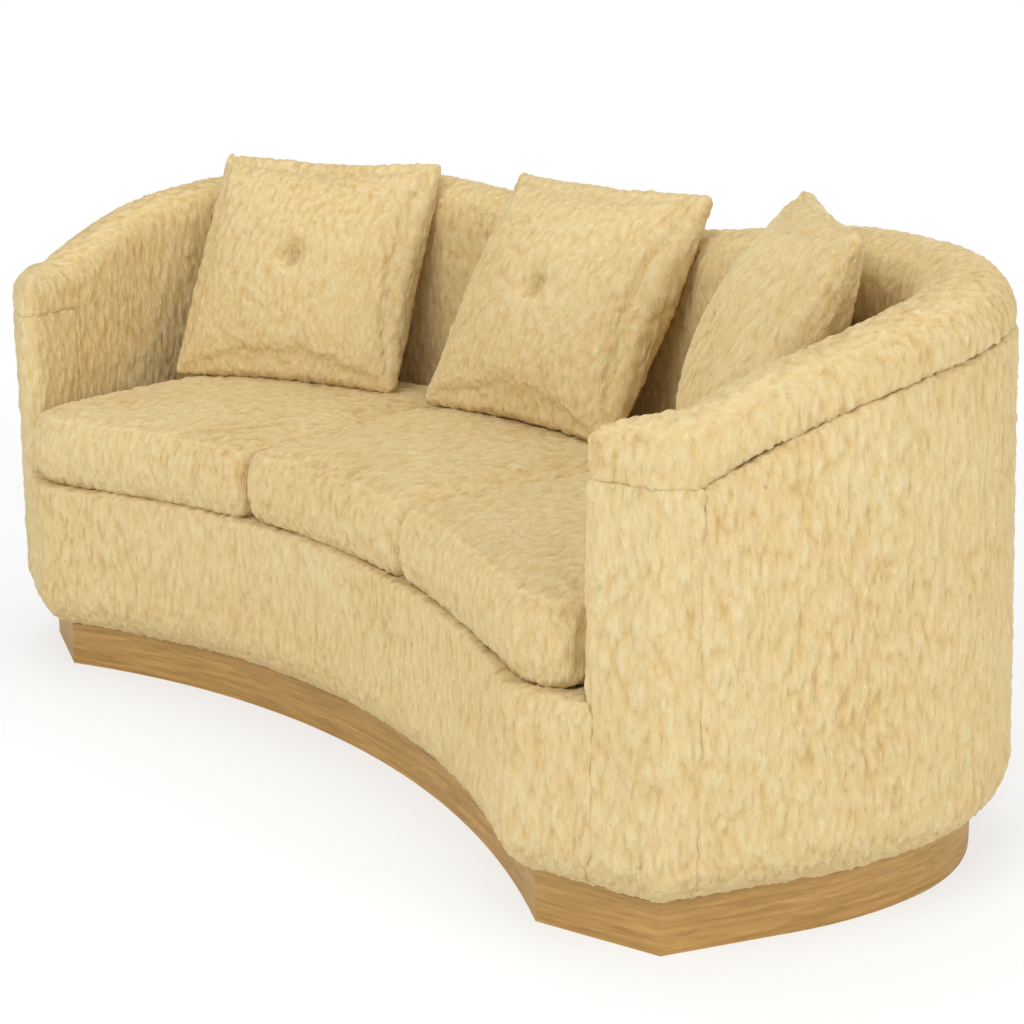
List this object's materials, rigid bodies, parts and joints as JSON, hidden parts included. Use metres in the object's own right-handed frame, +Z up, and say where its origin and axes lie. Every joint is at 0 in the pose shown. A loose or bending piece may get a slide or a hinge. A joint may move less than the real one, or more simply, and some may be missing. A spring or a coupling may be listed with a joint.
{
  "type": "curved sofa",
  "caption": "Curved plush sofa with a concave front, a low back that wraps into the arms, a recessed wood plinth, loose seat cushions and button-tufted throw pillows.",
  "frame": {"origin": "on the floor, under the middle of the whole outline", "axes": "+X along the sofa to the right arm seen from the front, -Y the way a sitter faces, +Z up"},
  "size_m": [1.8398, 0.9218, 0.8528],
  "materials": {
    "plush": "long straw-coloured plush pile",
    "plinth_wood": "satin honey-coloured wood",
    "timber": "plain sawn hardwood",
    "foam": "soft open-cell foam and fibre",
    "webbing": "woven jute",
    "burlap": "coarse weave",
    "cloth": "plain weave",
    "steel": "bright wire"
  },
  "bodies": {
    "sofa": {"arm_front_blocks": "timber", "arm_front_cover_left": "plush", "arm_front_cover_right": "plush", "arm_front_foam": "foam", "arm_front_posts": "timber", "arm_posts": "timber", "arm_top_rails": "timber", "arm_webbing": "webbing", "back_posts": "timber", "back_top_rail": "timber", "back_webbing": "webbing", "base_arm_rails": "timber", "base_back_rail": "timber", "base_front_rail": "timber", "base_side_rails": "timber", "base_stretchers": "timber", "deck_burlap": "burlap", "deck_cloth": "cloth", "deck_foam": "foam", "dust_cloth": "cloth", "front_border_cover": "plush", "front_edge_foam": "foam", "inside_arm_cover_left": "plush", "inside_arm_cover_right": "plush", "inside_back_cover": "plush", "inside_foam": "foam", "outside_arm_cover_left": "plush", "outside_arm_cover_right": "plush", "outside_back_cover": "plush", "outside_padding": "foam", "plinth_arm_fronts": "plinth_wood", "plinth_back": "plinth_wood", "plinth_blocks": "plinth_wood", "plinth_cross_boards": "plinth_wood", "plinth_front": "plinth_wood", "plinth_screws": "steel", "plinth_sides": "plinth_wood", "roll_foam": "foam", "seat_back_rail": "timber", "seat_front_rail": "timber", "seat_side_rails": "timber", "seat_springs": "steel", "seat_stretchers": "timber", "spring_clips": "steel"},
    "pillow_left": {"pillow_buttons_left": "plush", "pillow_cover_left": "plush", "pillow_insert_left": "foam"},
    "pillow_middle": {"pillow_buttons_middle": "plush", "pillow_cover_middle": "plush", "pillow_insert_middle": "foam"},
    "pillow_right": {"pillow_buttons_right": "plush", "pillow_cover_right": "plush", "pillow_insert_right": "foam"},
    "cushion_left": {"seat_cushion_core_left": "foam", "seat_cushion_cover_left": "plush"},
    "cushion_middle": {"seat_cushion_core_middle": "foam", "seat_cushion_cover_middle": "plush"},
    "cushion_right": {"seat_cushion_core_right": "foam", "seat_cushion_cover_right": "plush"}
  },
  "joints": [
    {"name": "cushion_lift_left", "type": "slide", "parent": "sofa", "child": "cushion_left", "axis": [0, 0, 1], "range_m": [0, 0.6]},
    {"name": "pillow_lift_left", "type": "slide", "parent": "cushion_left", "child": "pillow_left", "axis": [0, 0, 1], "range_m": [0, 0.6]},
    {"name": "cushion_lift_middle", "type": "slide", "parent": "sofa", "child": "cushion_middle", "axis": [0, 0, 1], "range_m": [0, 0.6]},
    {"name": "pillow_lift_middle", "type": "slide", "parent": "cushion_middle", "child": "pillow_middle", "axis": [0, 0, 1], "range_m": [0, 0.6]},
    {"name": "cushion_lift_right", "type": "slide", "parent": "sofa", "child": "cushion_right", "axis": [0, 0, 1], "range_m": [0, 0.6]},
    {"name": "pillow_lift_right", "type": "slide", "parent": "cushion_right", "child": "pillow_right", "axis": [0, 0, 1], "range_m": [0, 0.6]}
  ]
}
